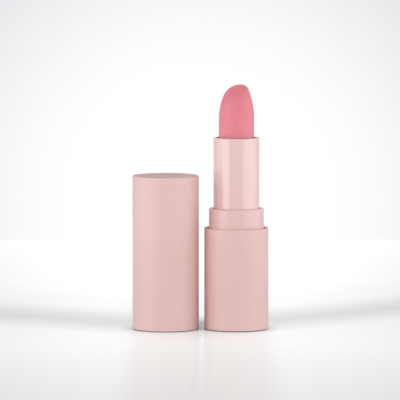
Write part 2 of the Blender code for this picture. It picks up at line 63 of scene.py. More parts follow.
PRESS_GAP = 0.03 * MM
SEAT_GAP = 0.10 * MM
BASE_FLOOR = 1.0 * MM
BASE_RIM_ROUND = 0.24 * MM
BASE_FOOT_ROUND = 0.35 * MM
LABEL_SEAT_MARGIN = 2.2 * MM
LABEL_SEAT_DEPTH = 0.25 * MM
LABEL_SEAT_ROUND = 0.12 * MM
SATIN_PINK = (0.765, 0.520, 0.495)
SATIN_PINK_DEEP = (0.745, 0.500, 0.476)
# Painted contact shadow: a thin band of dark dull metal along the edge that a shell stands on.
CONTACT_SHADOW_HEIGHT = 0.25 * MM
CONTACT_SHADOW_TONE = (0.22, 0.175, 0.16)
CONTACT_SHADOW_TONE_DEEP = (0.14, 0.11, 0.10)
NOISE_MIDDLE = 0.5
SHEEN_SPREAD = 0.18
TONE_SPREAD = 0.15


def softened(corners, closed):
    """Outline points from corners (radius, height, rounding), with a holding point beside each arc."""
    points = []
    count = len(corners)
    for index, (x, z, rounding) in enumerate(corners):
        if rounding == 0 or (not closed and index in (0, count - 1)):
            points.append(Vector((x, z)))
            continue
        corner = Vector((x, z))
        back = Vector(corners[index - 1][:2]) - corner
        ahead = Vector(corners[(index + 1) % count][:2]) - corner
        half_angle = back.angle(ahead) / 2
        longest_reach = ARC_EDGE_SHARE * min(back.length, ahead.length)
        reach = min(rounding / math.tan(half_angle), longest_reach)
        radius = reach * math.tan(half_angle)
        back.normalize()
        ahead.normalize()
        centre = corner + (back + ahead).normalized() * (radius / math.sin(half_angle))
        start = corner + back * reach - centre
        end = corner + ahead * reach - centre
        sweep = start.angle_signed(end)
        points.append(corner + back * reach * HOLDING_SHARE)
        for step in range(ARC_STEPS + 1):
            turn = Matrix.Rotation(-sweep * step / ARC_STEPS, 2)
            points.append(centre + turn @ start)
        points.append(corner + ahead * reach * HOLDING_SHARE)
    return points


def axis_of(node):
    """The point on the floor under the middle of a node, on the axis that it is turned about."""
    low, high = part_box(node)
    return Vector(((low.x + high.x) / 2, (low.y + high.y) / 2, 0))


def radius_of(node):
    """Half of a node's depth, which lugs that stand out to the sides don't add to."""
    low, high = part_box(node)
    return (high.y - low.y) / 2


def bottom_of(node):
    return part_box(node)[0].z


def top_of(node):
    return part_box(node)[1].z


def turned(name, points, closed, axis):
    """A piece turned on a lathe from the points of its outline."""
    bm = bmesh.new()
    verts = [bm.verts.new((p.x, 0, p.y)) for p in points]
    edges = [bm.edges.new(pair) for pair in zip(verts, verts[1:])]
    if closed:
        edges.append(bm.edges.new((verts[-1], verts[0])))
    bmesh.ops.spin(
        bm,
        geom=verts + edges,
        cent=(0, 0, 0),
        axis=(0, 0, 1),
        angle=math.tau,
        steps=ROUND_STEPS,
    )
    bmesh.ops.remove_doubles(bm, verts=bm.verts, dist=WELD_DISTANCE)
    bmesh.ops.recalc_face_normals(bm, faces=bm.faces)
    mesh = bpy.data.meshes.new(name)
    bm.to_mesh(mesh)
    bm.free()
    piece = bpy.data.objects.new(name, mesh)
    piece.location = axis
    bpy.context.scene.collection.objects.link(piece)
    return piece


def dressed(piece, material):
    """Smooth faces, crisp corners and the piece's own finish."""
    piece.data.materials.clear()
    piece.data.materials.append(material)
    piece.data.shade_smooth()
    piece.data.set_sharp_from_angle(angle=SHARP_ANGLE)


def finish_of(name, roughness, metallic=0.0, ior_level=0.5):
    """A new material with its shader, and the coordinates that its grain is laid out in."""
    material = bpy.data.materials.new(name)
    material.use_nodes = True
    nodes = material.node_tree.nodes
    shader = nodes["Principled BSDF"]
    shader.inputs["Roughness"].default_value = roughness
    shader.inputs["Metallic"].default_value = metallic
    shader.inputs["Specular IOR Level"].default_value = ior_level
    place = nodes.new("ShaderNodeTexCoord").outputs["Object"]
    return material, shader, place


def grain(material, place, scale, detail=2.0, stretch=(1, 1, 1)):
    """Even noise in the piece's own space, drawn out along an axis where stretch is below 1."""
    nodes = material.node_tree.nodes
    links = material.node_tree.links
    mapping = nodes.new("ShaderNodeMapping")
    mapping.inputs["Scale"].default_value = stretch
    links.new(place, mapping.inputs["Vector"])
    noise = nodes.new("ShaderNodeTexNoise")
    noise.inputs["Scale"].default_value = scale
    noise.inputs["Detail"].default_value = detail
    links.new(mapping.outputs["Vector"], noise.inputs["Vector"])
    return noise.outputs["Fac"]


def between(material, factor, low, high):
    """A value that follows the noise from low to high."""
    nodes = material.node_tree.nodes
    ranged = nodes.new("ShaderNodeMapRange")
    ranged.inputs["From Min"].default_value = NOISE_MIDDLE - SHEEN_SPREAD
    ranged.inputs["From Max"].default_value = NOISE_MIDDLE + SHEEN_SPREAD
    ranged.inputs["To Min"].default_value = low
    ranged.inputs["To Max"].default_value = high
    material.node_tree.links.new(factor, ranged.inputs["Value"])
    return ranged.outputs["Result"]


def tones(material, shader, factor, first, second):
    """The shader's colour, mixed between two close tones."""
    nodes = material.node_tree.nodes
    links = material.node_tree.links
    ramp = nodes.new("ShaderNodeValToRGB")
    ramp.color_ramp.elements[0].position = NOISE_MIDDLE - TONE_SPREAD
    ramp.color_ramp.elements[0].color = (*first, 1)
    ramp.color_ramp.elements[1].position = NOISE_MIDDLE + TONE_SPREAD
    ramp.color_ramp.elements[1].color = (*second, 1)
    links.new(factor, ramp.inputs["Fac"])
    links.new(ramp.outputs["Color"], shader.inputs["Base Color"])


def relief(material, shader, factor, depth, under=None):
    """Bump from the noise, laid over another bump where one is given."""
    nodes = material.node_tree.nodes
    links = material.node_tree.links
    bump = nodes.new("ShaderNodeBump")
    bump.inputs["Distance"].default_value = depth
    links.new(factor, bump.inputs["Height"])
    if under is not None:
        links.new(under, bump.inputs["Normal"])
    links.new(bump.outputs["Normal"], shader.inputs["Normal"])
    return bump.outputs["Normal"]


def satin_lacquer(name, light, deep):
    """Soft sprayed lacquer: a fine dry grain, slow changes of tone, and a sheen that varies a little."""
    material, shader, place = finish_of(name, roughness=0.48)
    tones(material, shader, grain(material, place, scale=55, detail=3), deep, light)
    sheen = between(material, grain(material, place, scale=420, detail=4), low=0.45, high=0.51)
    material.node_tree.links.new(sheen, shader.inputs["Roughness"])
    peel = relief(material, shader, grain(material, place, scale=900), depth=0.004 * MM)
    relief(material, shader, grain(material, place, scale=7000), depth=0.002 * MM, under=peel)
    return material


def painted_shadow_metal(name, light, deep):
    """Dark dull metal that paints a contact shadow along the edge that a piece stands on."""
    material, shader, place = finish_of(name, roughness=0.5, metallic=1.0)
    tones(material, shader, grain(material, place, scale=700, detail=3), deep, light)
    relief(material, shader, grain(material, place, scale=3000), depth=0.003 * MM)
    return material


def paint_shadow_below(piece, height, material):
    """Gives the faces of a piece up to height, along the edge that it stands on, the painted contact shadow
    finish.
    """
    piece.data.materials.append(material)
    for face in piece.data.polygons:
        if face.center.z < height:
            face.material_index = 1


lipstick_axis = axis_of("base_shell")
base_radius = radius_of("base_shell")
base_top = top_of("base_shell")
base_bore = radius_of("base_insert") + PRESS_GAP
label_seat = base_radius - LABEL_SEAT_MARGIN
base_outline = softened(
    [
        (0, BASE_FLOOR, 0),
        (base_bore, BASE_FLOOR, BASE_RIM_ROUND),
        (base_bore, base_top, BASE_RIM_ROUND),
        (base_radius, base_top, BASE_RIM_ROUND),
        (base_radius, 0, BASE_FOOT_ROUND),
        (label_seat, 0, LABEL_SEAT_ROUND),
        (label_seat, LABEL_SEAT_DEPTH, LABEL_SEAT_ROUND),
        (0, LABEL_SEAT_DEPTH, 0),
    ],
    closed=False,
)
base = turned("base_drawn_shell", base_outline, closed=False, axis=lipstick_axis)
dressed(base, satin_lacquer("base_satin_lacquer", SATIN_PINK, SATIN_PINK_DEEP))
# The thin dark band along the foot is painted contact shadow.
contact_shadow_finish = painted_shadow_metal("painted_contact_shadow_metal", CONTACT_SHADOW_TONE, CONTACT_SHADOW_TONE_DEEP)
paint_shadow_below(base, CONTACT_SHADOW_HEIGHT, contact_shadow_finish)
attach(base, "base")
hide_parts("base_shell")


# Base weight
# A plain steel ring, sawn and turned from bar, that gives the base its heft.
# It lies on the floor of the base shell, and the insert's skirt holds it there.
WEIGHT_HOLE_RADIUS = 3.0 * MM
WEIGHT_CHAMFER = 0.4 * MM
LATHE_RINGS = 900
LATHE_WOBBLE = 0.4
STEEL = (0.56, 0.56, 0.57)
STEEL_DEEP = (0.48, 0.48, 0.49)


def turned_steel(name, light, deep):
    """Bare steel with the fine rings that the lathe leaves, and patches where oil has dulled it."""
    material, shader, place = finish_of(name, roughness=0.32, metallic=1.0)
    nodes = material.node_tree.nodes
    rings = nodes.new("ShaderNodeTexWave")
    rings.wave_type = "RINGS"
    rings.rings_direction = "Z"
    rings.inputs["Scale"].default_value = LATHE_RINGS
    rings.inputs["Distortion"].default_value = LATHE_WOBBLE
    material.node_tree.links.new(place, rings.inputs["Vector"])
    tones(material, shader, grain(material, place, scale=180, detail=4), deep, light)
    dulled = between(material, grain(material, place, scale=260, detail=4), low=0.26, high=0.42)
    material.node_tree.links.new(dulled, shader.inputs["Roughness"])
    relief(material, shader, rings.outputs["Fac"], depth=0.006 * MM)
    return material


weight_radius = radius_of("base_weight")
weight_bottom = bottom_of("base_weight")
weight_top = top_of("base_weight")
weight_outline = softened(
    [
        (WEIGHT_HOLE_RADIUS, weight_top, WEIGHT_CHAMFER),
        (weight_radius, weight_top, WEIGHT_CHAMFER),
        (weight_radius, weight_bottom, WEIGHT_CHAMFER),
        (WEIGHT_HOLE_RADIUS, weight_bottom, WEIGHT_CHAMFER),
    ],
    closed=True,
)
weight = turned("base_steel_weight", weight_outline, closed=True, axis=lipstick_axis)
dressed(weight, turned_steel("weight_steel", STEEL, STEEL_DEEP))
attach(weight, "base")
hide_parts("base_weight")


# Base insert
# A moulded plastic piece inside the base shell. Its bore lets the collar turn, and its keyed socket
# holds the slotted tube. Only its upper edge shows, down in the gap round the collar.
OVERRUN = 1.0 * MM
MELD = 0.12 * MM
COLLAR_RUNNING_GAP = 0.12 * MM
WEB_THICKNESS = 1.2 * MM
SKIRT_WALL = 0.9 * MM
SOCKET_WALL = 0.8 * MM
SOCKET_FLOOR = 1.0 * MM
FOOT_LENGTH = 12.0 * MM
FOOT_STEP = 0.35 * MM
FOOT_KEYS = 4
FOOT_KEY_WIDTH = 1.2 * MM
FOOT_KEY_DEPTH = 0.4 * MM
INSERT_RIBS = 6
INSERT_RIB_WIDTH = 0.9 * MM
MOULDED_ROUND = 0.15 * MM
RUNNING_GAP = 0.07 * MM
SLOTTED_WALL = 0.36 * MM
INSERT_PINK = (0.60, 0.40, 0.38)
INSERT_PINK_DEEP = (0.54, 0.35, 0.33)
MOULDED_SHEEN_SWING = 0.06


def blocks_around(count, inner, outer, width, bottom, top, first_turn):
    """Upright blocks round a piece's own axis, for its ribs, keys and slots."""
    bm = bmesh.new()
    for index in range(count):
        place = (
            Matrix.Rotation(first_turn + math.tau * index / count, 4, "Z")
            @ Matrix.Translation(((inner + outer) / 2, 0, (bottom + top) / 2))
            @ Matrix.Diagonal((outer - inner, width, top - bottom, 1))
        )
        bmesh.ops.create_cube(bm, size=1, matrix=place)
    return bm


def combined(piece, bm, operation):
    """Cuts a shape out of a piece or joins it on, and leaves one mesh.

    What is cut out runs past the piece by OVERRUN, and what is joined on sinks into it by MELD.
    """
    bmesh.ops.recalc_face_normals(bm, faces=bm.faces)
    mesh = bpy.data.meshes.new("tool")
    bm.to_mesh(mesh)
    bm.free()
    tool = bpy.data.objects.new("tool", mesh)
    tool.location = piece.location
    bpy.context.scene.collection.objects.link(tool)
    boolean = piece.modifiers.new("combine", "BOOLEAN")
    boolean.object = tool
    boolean.operation = operation
    bpy.context.view_layer.update()
    result = bpy.data.meshes.new_from_object(piece.evaluated_get(bpy.context.evaluated_depsgraph_get()))
    piece.modifiers.clear()
    piece.data = result
    bpy.data.objects.remove(tool)


def moulded_plastic(name, light, deep, roughness=0.42):
    """Injection moulded plastic: faint flow marks, and the fine spark texture of the mould."""
    material, shader, place = finish_of(name, roughness)
    tones(material, shader, grain(material, place, scale=140, detail=3, stretch=(1, 1, 0.3)), deep, light)
    fine = grain(material, place, scale=700, detail=3)
    sheen = between(material, fine, roughness - MOULDED_SHEEN_SWING, roughness + MOULDED_SHEEN_SWING)
    material.node_tree.links.new(sheen, shader.inputs["Roughness"])
    relief(material, shader, grain(material, place, scale=5000, detail=3), depth=0.004 * MM)
    return material


insert_radius = radius_of("base_insert")
insert_top = top_of("base_insert")
insert_bottom = bottom_of("base_insert")
collar_radius = radius_of("collar_sleeve")
insert_bore = collar_radius + COLLAR_RUNNING_GAP
foot_bottom = bottom_of("slotted_tube")
flange_bottom = foot_bottom + FOOT_LENGTH
web_top = flange_bottom - SEAT_GAP
web_bottom = web_top - WEB_THICKNESS
skirt_bore = insert_radius - SKIRT_WALL
cup_radius = radius_of("carrier_cup")
slotted_bore = cup_radius + RUNNING_GAP
slotted_radius = slotted_bore + SLOTTED_WALL
foot_radius = slotted_radius + FOOT_STEP
key_radius = foot_radius + FOOT_KEY_DEPTH
socket_bore = foot_radius + PRESS_GAP
socket_radius = socket_bore + SOCKET_WALL
socket_floor_top = foot_bottom - SEAT_GAP
insert_outline = softened(
    [
        (0, socket_floor_top, 0),
        (socket_bore, socket_floor_top, MOULDED_ROUND),
        (socket_bore, web_top, MOULDED_ROUND),
        (insert_bore, web_top, MOULDED_ROUND),
        (insert_bore, insert_top, MOULDED_ROUND),
        (insert_radius, insert_top, MOULDED_ROUND),
        (insert_radius, insert_bottom, MOULDED_ROUND),
        (skirt_bore, insert_bottom, MOULDED_ROUND),
        (skirt_bore, web_bottom, MOULDED_ROUND),
        (socket_radius, web_bottom, MOULDED_ROUND),
        (socket_radius, socket_floor_top - SOCKET_FLOOR, MOULDED_ROUND),
        (0, socket_floor_top - SOCKET_FLOOR, 0),
    ],
    closed=False,
)
insert = turned("base_moulded_insert", insert_outline, closed=False, axis=lipstick_axis)
insert_ribs = blocks_around(
    count=INSERT_RIBS,
    inner=socket_radius - MELD,
    outer=skirt_bore + MELD,
    width=INSERT_RIB_WIDTH,
    bottom=weight_top + SEAT_GAP,
    top=web_bottom + MELD,
    first_turn=0,
)
combined(insert, insert_ribs, "UNION")
socket_keyways = blocks_around(
    count=FOOT_KEYS,
    inner=foot_radius - OVERRUN,
    outer=key_radius + PRESS_GAP,
    width=FOOT_KEY_WIDTH + 2 * PRESS_GAP,
    bottom=foot_bottom,
    top=web_top + OVERRUN,
    first_turn=math.pi / FOOT_KEYS,
)
combined(insert, socket_keyways, "DIFFERENCE")
dressed(insert, moulded_plastic("insert_plastic", INSERT_PINK, INSERT_PINK_DEEP))
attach(insert, "base")
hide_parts("base_insert")


# Slotted tube
# The inner tube of the mechanism, moulded in slippery plastic. Its two straight slots keep the cup from
# turning. Four keys on its foot lock it in the base, and the bead at its top holds the cam sleeve on.
SLOTTED_FLOOR = 2.2 * MM
SLOTTED_FLOOR_TOP = 32.8 * MM
SNAP_BEAD = 0.2 * MM
SNAP_BEAD_HEIGHT = 0.9 * MM
SLOTTED_TOP_ROUND = 0.1 * MM
FLANGE_THICKNESS = 0.8 * MM
FOOT_WALL = 1.0 * MM
RING_WIRE_RADIUS = 0.4 * MM
RING_SQUEEZE_GAP = 0.05 * MM
LUG_COUNT = 2
LUG_RADIUS = 0.8 * MM
LUG_HEIGHT = 1.2 * MM
TRAVEL_UP = 4.0 * MM
TRAVEL_DOWN = 18.1 * MM
SLOT_SIDE_GAP = 0.12 * MM
SLOT_END_GAP = 0.3 * MM
MECHANISM_WHITE = (0.62, 0.56, 0.53)
MECHANISM_WHITE_DEEP = (0.57, 0.51, 0.48)

cam_radius = radius_of("cam_sleeve")
cam_bore = slotted_radius + RUNNING_GAP
tube_bore = cam_radius + PRESS_GAP
flange_radius = radius_of("slotted_tube")
flange_top = flange_bottom + FLANGE_THICKNESS
slotted_top = top_of("slotted_tube")
ring_height = (bottom_of("drag_ring") + top_of("drag_ring")) / 2
lug_rest = bottom_of("carrier_cup") + LUG_HEIGHT
lug_high = lug_rest + TRAVEL_UP
lug_low = lug_rest - TRAVEL_DOWN
groove_floor = tube_bore - 2 * (RING_SQUEEZE_GAP + RING_WIRE_RADIUS)
groove_half = RING_WIRE_RADIUS + RING_SQUEEZE_GAP
bead_bottom = slotted_top - SNAP_BEAD_HEIGHT
bead_radius = cam_bore + SNAP_BEAD
slotted_outline = softened(
    [
        (0, SLOTTED_FLOOR_TOP, 0),
        (slotted_bore, SLOTTED_FLOOR_TOP, MOULDED_ROUND),
        (slotted_bore, slotted_top, SLOTTED_TOP_ROUND),
        (slotted_radius, slotted_top, SLOTTED_TOP_ROUND),
        (bead_radius, slotted_top - SNAP_BEAD_HEIGHT / 2, SLOTTED_TOP_ROUND),
        (bead_radius, bead_bottom, 0),
        (slotted_radius, bead_bottom, 0),
        (slotted_radius, ring_height + groove_half, 0),
        (groove_floor, ring_height + groove_half, 0),
        (groove_floor, ring_height - groove_half, 0),
        (slotted_radius, ring_height - groove_half, 0),
        (slotted_radius, flange_top, 0),
        (flange_radius, flange_top, MOULDED_ROUND),
        (flange_radius, flange_bottom, MOULDED_ROUND),
        (foot_radius, flange_bottom, 0),
        (foot_radius, foot_bottom, MOULDED_ROUND),
        (foot_radius - FOOT_WALL, foot_bottom, MOULDED_ROUND),
        (foot_radius - FOOT_WALL, SLOTTED_FLOOR_TOP - SLOTTED_FLOOR, MOULDED_ROUND),
        (0, SLOTTED_FLOOR_TOP - SLOTTED_FLOOR, 0),
    ],
    closed=False,
)
slotted = turned("mechanism_slotted_tube", slotted_outline, closed=False, axis=lipstick_axis)
foot_keys = blocks_around(
    count=FOOT_KEYS,
    inner=foot_radius - MELD,
    outer=key_radius,
    width=FOOT_KEY_WIDTH,
    bottom=foot_bottom + FOOT_KEY_DEPTH,
    top=flange_bottom + MELD,
    first_turn=math.pi / FOOT_KEYS,
)
combined(slotted, foot_keys, "UNION")
straight_slots = blocks_around(
    count=LUG_COUNT,
    inner=slotted_bore - OVERRUN,
    outer=slotted_radius + OVERRUN,
    width=2 * (LUG_RADIUS + SLOT_SIDE_GAP),
    bottom=lug_low - LUG_RADIUS - SLOT_END_GAP,
    top=lug_high + LUG_RADIUS + SLOT_END_GAP,
    first_turn=0,
)
combined(slotted, straight_slots, "DIFFERENCE")
dressed(
    slotted,
    moulded_plastic("slotted_tube_plastic", MECHANISM_WHITE, MECHANISM_WHITE_DEEP, roughness=0.38),
)
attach(slotted, "base")
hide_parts("slotted_tube")


# Drag ring
# A black rubber ring, moulded in one piece, that sits in the slotted tube's groove.
# It rubs in the outer tube, makes the twist smooth and holds the bullet where it is left.
RING_STEPS = 24
RUBBER_BLACK = (0.030, 0.029, 0.028)
RUBBER_DUSTY = (0.055, 0.053, 0.050)


def rubber(name, dark, dusty):
    """Matt black rubber with a little talc left on it from the bag."""
    material, shader, place = finish_of(name, roughness=0.7)
    tones(material, shader, grain(material, place, scale=300, detail=5), dark, dusty)
    dry = between(material, grain(material, place, scale=900, detail=3), low=0.62, high=0.80)
    material.node_tree.links.new(dry, shader.inputs["Roughness"])
    relief(material, shader, grain(material, place, scale=4000, detail=3), depth=0.006 * MM)
    return material


ring_centre = tube_bore - RING_SQUEEZE_GAP - RING_WIRE_RADIUS
ring_outline = [
    Vector(
        (
            ring_centre + RING_WIRE_RADIUS * math.cos(math.tau * step / RING_STEPS),
            ring_height - RING_WIRE_RADIUS * math.sin(math.tau * step / RING_STEPS),
        )
    )
    for step in range(RING_STEPS)
]
drag_ring = turned("mechanism_drag_ring", ring_outline, closed=True, axis=lipstick_axis)
dressed(drag_ring, rubber("ring_rubber", RUBBER_BLACK, RUBBER_DUSTY))
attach(drag_ring, "base")
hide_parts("drag_ring")


# Cam sleeve
# The moulded sleeve round the slotted tube, pressed into the outer tube. The cup's lugs run in its two
# helical slots, which rise 16 mm in a turn, so turning it lifts the cup.
LEAD = 16.0 * MM
HELIX_STEP = math.radians(5)


def helical_bars(count, inner, outer, height, low, high, rest, end_turn):
    """Bars wound up a piece's own axis with the screw's lead. At the height rest, the first is at +X."""
    bm = bmesh.new()
    first_turn = (low - rest) / LEAD * math.tau - end_turn
    sweep = (high - low) / LEAD * math.tau + 2 * end_turn
    steps = math.ceil(sweep / HELIX_STEP)
    for index in range(count):
        start = (
            Matrix.Rotation(first_turn + math.tau * index / count, 4, "Z")
            @ Matrix.Translation(((inner + outer) / 2, 0, rest + first_turn / math.tau * LEAD))
            @ Matrix.Rotation(math.pi / 2, 4, "X")
            @ Matrix.Diagonal((outer - inner, height, 1, 1))
        )
        verts = bmesh.ops.create_grid(bm, x_segments=1, y_segments=1, size=0.5, matrix=start)["verts"]
        face = verts[0].link_faces[0]
        bmesh.ops.spin(
            bm,
            geom=verts + face.edges[:] + [face],
            cent=(0, 0, 0),
            axis=(0, 0, 1),
            dvec=(0, 0, sweep / math.tau * LEAD / steps),
            angle=sweep,
            steps=steps,
        )
    return bm


cam_top = top_of("cam_sleeve")
cam_bottom = bottom_of("cam_sleeve")
cam_outline = softened(
    [
        (cam_bore, cam_top, SLOTTED_TOP_ROUND),
        (cam_radius, cam_top, SLOTTED_TOP_ROUND),
        (cam_radius, cam_bottom, SLOTTED_TOP_ROUND),
        (cam_bore, cam_bottom, SLOTTED_TOP_ROUND),
    ],
    closed=True,
)
cam = turned("mechanism_cam_sleeve", cam_outline, closed=True, axis=lipstick_axis)
cam_middle = (cam_bore + cam_radius) / 2
slot_climb = math.atan2(LEAD, math.tau * cam_middle)
helical_slots = helical_bars(
    count=LUG_COUNT,
    inner=cam_bore - OVERRUN,
    outer=cam_radius + OVERRUN,
    height=2 * (LUG_RADIUS + SLOT_SIDE_GAP) / math.cos(slot_climb),
    low=lug_low,
    high=lug_high,
    rest=lug_rest,
    end_turn=(LUG_RADIUS + SLOT_END_GAP) / cam_middle,
)
combined(cam, helical_slots, "DIFFERENCE")
dressed(cam, moulded_plastic("cam_sleeve_plastic", MECHANISM_WHITE, MECHANISM_WHITE_DEEP, roughness=0.34))
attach(cam, "shell")
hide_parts("cam_sleeve")


# Carrier cup
# The moulded cup that holds the bullet's shank on four thin ribs. Its two lugs reach through the
# slotted tube into the cam sleeve, and the hole in its floor lets air out as the wax goes in.
CUP_WALL = 0.36 * MM
CUP_DEPTH = 8.0 * MM
CUP_HOLE_RADIUS = 2.0 * MM
CUP_RIM_ROUND = 0.12 * MM
CUP_RIBS = 4
CUP_RIB_WIDTH = 0.5 * MM
CUP_RIB_DEPTH = 0.25 * MM
CUP_RIB_LENGTH = 6.0 * MM
LUG_STEPS = 32
CUP_PINK = (0.60, 0.44, 0.42)
CUP_PINK_DEEP = (0.55, 0.39, 0.37)


def rods_around(count, radius, steps, place_one, length):
    """Round rods spread evenly round a piece's own axis. place_one puts the first in its place."""
    bm = bmesh.new()
    for index in range(count):
        bmesh.ops.create_cone(
            bm,
            cap_ends=True,
            segments=steps,
            radius1=radius,
            radius2=radius,
            depth=length,
            matrix=Matrix.Rotation(math.tau * index / count, 4, "Z") @ place_one,
        )
    return bm


cup_rim = top_of("carrier_cup")
cup_bottom = bottom_of("carrier_cup")
cup_floor_top = cup_rim - CUP_DEPTH
cup_bore = cup_radius - CUP_WALL
cup_outline = softened(
    [
        (cup_bore, cup_rim, CUP_RIM_ROUND),
        (cup_radius, cup_rim, CUP_RIM_ROUND),
        (cup_radius, cup_bottom, CUP_RIM_ROUND),
        (CUP_HOLE_RADIUS, cup_bottom, CUP_RIM_ROUND),
        (CUP_HOLE_RADIUS, cup_floor_top, CUP_RIM_ROUND),
        (cup_bore, cup_floor_top, CUP_RIM_ROUND),
    ],
    closed=True,
)
cup = turned("cup_moulded", cup_outline, closed=True, axis=lipstick_axis)
cup_ribs = blocks_around(
    count=CUP_RIBS,
    inner=cup_bore - CUP_RIB_DEPTH,
    outer=cup_bore + MELD,
    width=CUP_RIB_WIDTH,
    bottom=cup_floor_top - MELD,
    top=cup_floor_top + CUP_RIB_LENGTH,
    first_turn=math.pi / CUP_RIBS,
)
combined(cup, cup_ribs, "UNION")
lug_root = cup_bore + MELD
lug_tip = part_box("carrier_cup")[1].x - lipstick_axis.x
lug_middle = Matrix.Translation(((lug_root + lug_tip) / 2, 0, lug_rest))
first_lug = lug_middle @ Matrix.Rotation(math.pi / 2, 4, "Y")
lugs = rods_around(LUG_COUNT, LUG_RADIUS, LUG_STEPS, first_lug, lug_tip - lug_root)
combined(cup, lugs, "UNION")
dressed(cup, moulded_plastic("cup_plastic", CUP_PINK, CUP_PINK_DEEP, roughness=0.36))
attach(cup, "carrier")
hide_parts("carrier_cup")


# Outer tube
# The bright tube that the bullet comes out of, drawn from aluminium and finished in gloss lacquer.
# Its rim is rolled in over the mechanism, and its foot is flanged. Its inside is a dull dark pink: painted
# shade in the hollow.
TUBE_WALL = 0.32 * MM
TUBE_LIP = 0.95 * MM
TUBE_LIP_THICKNESS = 0.5 * MM
TUBE_RIM_ROUND = 0.28 * MM
TUBE_LIP_ROUND = 0.18 * MM
TUBE_FLANGE = 0.5 * MM
TUBE_FLANGE_THICKNESS = 0.4 * MM
GLOSS_PINK = (0.805, 0.555, 0.535)
GLOSS_PINK_DEEP = (0.790, 0.540, 0.520)
# Painted shade: the dark dull pink of the tube's inside.
INSIDE_SHADE_PINK = (0.26, 0.15, 0.145)
INSIDE_SHADE_PINK_DEEP = (0.22, 0.12, 0.115)
GLOSS_KEENEST_SHARE = 0.85
GLOSS_DULLEST_SHARE = 1.2


def gloss_lacquer(name, light, deep, roughness, ior_level):
    """Bright lacquer: a faint flow in the coat, and fine upright rub marks in its polish."""
    material, shader, place = finish_of(name, roughness, ior_level=ior_level)
    tones(material, shader, grain(material, place, scale=60), deep, light)
    rubbed = grain(material, place, scale=2600, stretch=(1, 1, 0.02))
    sheen = between(material, rubbed, roughness * GLOSS_KEENEST_SHARE, roughness * GLOSS_DULLEST_SHARE)
    material.node_tree.links.new(sheen, shader.inputs["Roughness"])
    relief(material, shader, grain(material, place, scale=260), depth=0.0025 * MM)
    return material


def paint_shade_within(piece, radius, top, material):
    """Gives the faces below top that are nearer to the axis than radius a dark finish, which is painted
    shade.
    """
    piece.data.materials.append(material)
    for face in piece.data.polygons:
        if face.center.z < top and math.hypot(face.center.x, face.center.y) < radius:
            face.material_index = 1


tube_radius = tube_bore + TUBE_WALL
tube_mouth = tube_radius - TUBE_LIP
tube_top = top_of("outer_tube")
tube_bottom = bottom_of("outer_tube")
tube_outline = softened(
    [
        (tube_mouth, tube_top, TUBE_LIP_ROUND),
        (tube_radius, tube_top, TUBE_RIM_ROUND),
        (tube_radius, tube_bottom + TUBE_FLANGE_THICKNESS, 0),
        (tube_radius + TUBE_FLANGE, tube_bottom + TUBE_FLANGE_THICKNESS, 0),
        (tube_radius + TUBE_FLANGE, tube_bottom, 0),
        (tube_bore, tube_bottom, 0),
        (tube_bore, tube_top - TUBE_LIP_THICKNESS, 0),
        (tube_mouth, tube_top - TUBE_LIP_THICKNESS, TUBE_LIP_ROUND),
    ],
    closed=True,
)
tube = turned("tube_bright_shell", tube_outline, closed=True, axis=lipstick_axis)
tube_lacquer = gloss_lacquer(
    "tube_gloss_lacquer", GLOSS_PINK, GLOSS_PINK_DEEP, roughness=0.10, ior_level=0.5
)
dressed(tube, tube_lacquer)
# The dark inside is painted shade in the tube's mouth round the bullet.
painted_inside_shade = moulded_plastic("tube_painted_inside_shade", INSIDE_SHADE_PINK, INSIDE_SHADE_PINK_DEEP, roughness=0.5)
paint_shade_within(tube, tube_bore + PRESS_GAP, tube_top - TUBE_LIP_ROUND / 2, painted_inside_shade)
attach(tube, "shell")
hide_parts("outer_tube")


# Collar core
# A moulded ring pressed between the outer tube and the collar sleeve. It carries the sleeve,
# and its recess holds the tube's flange, so the three turn as one.
COLLAR_WALL = 0.35 * MM
COLLAR_LIP_THICKNESS = 0.4 * MM

collar_top = top_of("collar_sleeve")
collar_bottom = bottom_of("collar_sleeve")
core_bore = tube_radius + PRESS_GAP
core_radius = radius_of("collar_core")
core_top = top_of("collar_core")
recess_radius = tube_radius + TUBE_FLANGE + PRESS_GAP
recess_top = tube_bottom + TUBE_FLANGE_THICKNESS + PRESS_GAP
core_outline = softened(
    [
        (core_bore, core_top, MOULDED_ROUND),
        (core_radius, core_top, MOULDED_ROUND),
        (core_radius, collar_bottom, MOULDED_ROUND),
        (recess_radius, collar_bottom, 0),
        (recess_radius, recess_top, 0),
        (core_bore, recess_top, 0),
    ],
    closed=True,
)
core = turned("collar_moulded_core", core_outline, closed=True, axis=lipstick_axis)
dressed(core, moulded_plastic("core_plastic", INSERT_PINK, INSERT_PINK_DEEP, roughness=0.44))
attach(core, "shell")
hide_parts("collar_core")


# Collar sleeve
# The band between the base and the tube, which the cap's liner grips. It is drawn like the tube,
# with a softer gloss, and its rolled upper rim leaves a thin dark gap round the tube.
COLLAR_LIP = 1.15 * MM
COLLAR_RIM_ROUND = 0.32 * MM
COLLAR_PINK = (0.790, 0.535, 0.515)
COLLAR_PINK_DEEP = (0.775, 0.520, 0.500)

collar_mouth = collar_radius - COLLAR_LIP
collar_bore = collar_radius - COLLAR_WALL
collar_outline = softened(
    [
        (collar_mouth, collar_top, COLLAR_RIM_ROUND),
        (collar_radius, collar_top, COLLAR_RIM_ROUND),
        (collar_radius, collar_bottom, 0),
        (collar_bore, collar_bottom, 0),
        (collar_bore, collar_top - COLLAR_LIP_THICKNESS, 0),
        (collar_mouth, collar_top - COLLAR_LIP_THICKNESS, 0),
    ],
    closed=True,
)
collar = turned("collar_gloss_sleeve", collar_outline, closed=True, axis=lipstick_axis)
collar_lacquer = gloss_lacquer(
    "collar_gloss_lacquer", COLLAR_PINK, COLLAR_PINK_DEEP, roughness=0.14, ior_level=0.28
)
dressed(collar, collar_lacquer)
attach(collar, "shell")
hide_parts("collar_sleeve")


